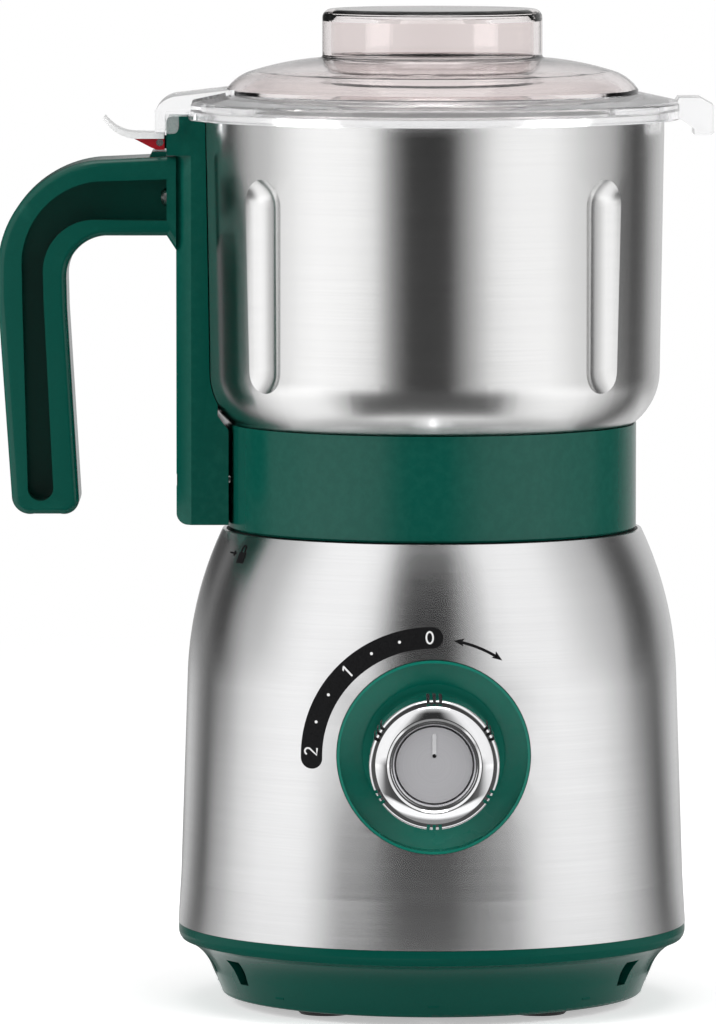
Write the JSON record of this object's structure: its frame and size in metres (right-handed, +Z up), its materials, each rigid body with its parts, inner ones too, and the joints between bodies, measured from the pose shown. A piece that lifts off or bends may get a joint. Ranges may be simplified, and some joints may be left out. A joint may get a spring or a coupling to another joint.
{
  "type": "electric grain mill",
  "caption": "Drum-shaped electric grain mill: motor base with a turning dial, lift-off steel cup with a J-shaped handle, and a clear domed lid with a latch.",
  "frame": {"origin": "on the main axis of the base and cup, in the plane of the four feet", "axes": "+Z up along the main axis, -Y towards the user and the dial, -X towards the handle"},
  "size_m": [0.2001, 0.1665, 0.2792],
  "materials": {
    "green_plastic": "smooth gloss, deep green",
    "brushed_steel": "fine level brushing round the main axis",
    "chrome": "polished",
    "satin_metal": "satin",
    "black_plastic": "fine moulded grain",
    "white_plastic": "smooth",
    "red_plastic": "smooth gloss",
    "pale_plastic": "translucent gloss",
    "clear_plastic": "clear, polished",
    "smoke_plastic": "clear with a warm smoke tint",
    "silicone": "soft, matt",
    "rubber": "matt",
    "screw_steel": "plated",
    "bearing_steel": "ground",
    "blade_steel": "ground stainless",
    "cast_aluminium": "die cast",
    "laminations": "stacked sheet",
    "copper": "enamelled wire",
    "brass": "stamped",
    "carbon": "pressed carbon",
    "switch_plastic": "moulded",
    "dog_plastic": "glass filled nylon",
    "circuit_board": "coated board"
  },
  "bodies": {
    "base": {"base_skirt": "green_plastic", "base_plate": "black_plastic", "rubber_feet": "rubber", "base_screws": "screw_steel", "housing_shell": "brushed_steel", "tie_rods": "screw_steel", "top_deck": "black_plastic", "safety_switch": "switch_plastic", "upper_bracket": "cast_aluminium", "lower_bracket": "cast_aluminium", "stator_core": "laminations", "field_coils": "copper", "stator_bolts": "screw_steel", "motor_bearings": "bearing_steel", "motor_dampers": "rubber", "motor_screws": "screw_steel", "brush_holders": "brass", "carbon_brushes": "carbon", "dial_bezel": "green_plastic", "rotary_switch": "switch_plastic", "control_board": "circuit_board", "board_parts": "switch_plastic", "cord_bush": "rubber"},
    "rotor": {"motor_shaft": "bearing_steel", "armature_core": "laminations", "armature_winding": "copper", "commutator": "copper", "cooling_fan": "black_plastic", "drive_dog": "dog_plastic"},
    "speed_knob": {"knob_spindle": "dog_plastic", "knob_ring": "chrome", "knob_face": "satin_metal", "knob_pointer": "white_plastic"},
    "interlock_plunger": {"switch_plunger": "white_plastic"},
    "blade_carrier": {"blade_bush": "bearing_steel", "blade_bearings": "bearing_steel", "shaft_seal": "rubber"},
    "cup": {"grinding_cup": "brushed_steel", "cup_collar": "green_plastic", "cup_gasket": "silicone", "bush_nut": "cast_aluminium", "handle_column": "green_plastic", "handle_grip": "green_plastic", "column_screws": "screw_steel", "grip_screws": "screw_steel", "rod_spring": "screw_steel", "latch_pin": "screw_steel"},
    "blade_set": {"blade_shaft": "bearing_steel", "lower_blade": "blade_steel", "upper_blade": "blade_steel", "blade_spacer": "bearing_steel", "blade_nut": "blade_steel", "driven_dog": "dog_plastic"},
    "lid": {"lid_ring": "clear_plastic", "lid_dome": "smoke_plastic", "lid_seal": "silicone"},
    "latch": {"latch_lever": "red_plastic", "latch_pad": "pale_plastic"},
    "interlock_rod": {"interlock_rod": "white_plastic"}
  },
  "joints": [
    {"name": "motor_spin", "type": "hinge", "parent": "base", "child": "rotor", "pos_m": [0, 0, 0.072], "axis": [0, 0, 1], "continuous": true},
    {"name": "knob_turn", "type": "hinge", "parent": "base", "child": "speed_knob", "pos_m": [0, -0.07, 0.0759], "axis": [0, -1, 0], "range_deg": [-45, 87]},
    {"name": "plunger_press", "type": "slide", "parent": "base", "child": "interlock_plunger", "axis": [0, 0, -1], "range_m": [0, 0.002], "stiffness_N_per_m": 300},
    {"name": "cup_lift", "type": "slide", "parent": "base", "child": "blade_carrier", "axis": [0, 0, 1], "range_m": [0, 0.1]},
    {"name": "cup_turn", "type": "hinge", "parent": "blade_carrier", "child": "cup", "pos_m": [0, 0, 0.16], "axis": [0, 0, 1], "range_deg": [0, 28]},
    {"name": "blade_spin", "type": "hinge", "parent": "blade_carrier", "child": "blade_set", "pos_m": [0, 0, 0.16], "axis": [0, 0, 1], "continuous": true},
    {"name": "lid_lift", "type": "slide", "parent": "cup", "child": "lid", "axis": [0, 0, 1], "range_m": [0, 0.06]},
    {"name": "latch_press", "type": "hinge", "parent": "cup", "child": "latch", "pos_m": [-0.0762, 0, 0.242], "axis": [0, -1, 0], "range_deg": [0, 10], "stiffness_Nm_per_rad": 0.05},
    {"name": "rod_press", "type": "slide", "parent": "cup", "child": "interlock_rod", "axis": [0, 0, -1], "range_m": [0, 0.003], "stiffness_N_per_m": 400, "deforming": ["rod_spring"]}
  ],
  "couplings": [
    {"joint": "blade_spin", "follows": "motor_spin", "ratio": 1}
  ]
}
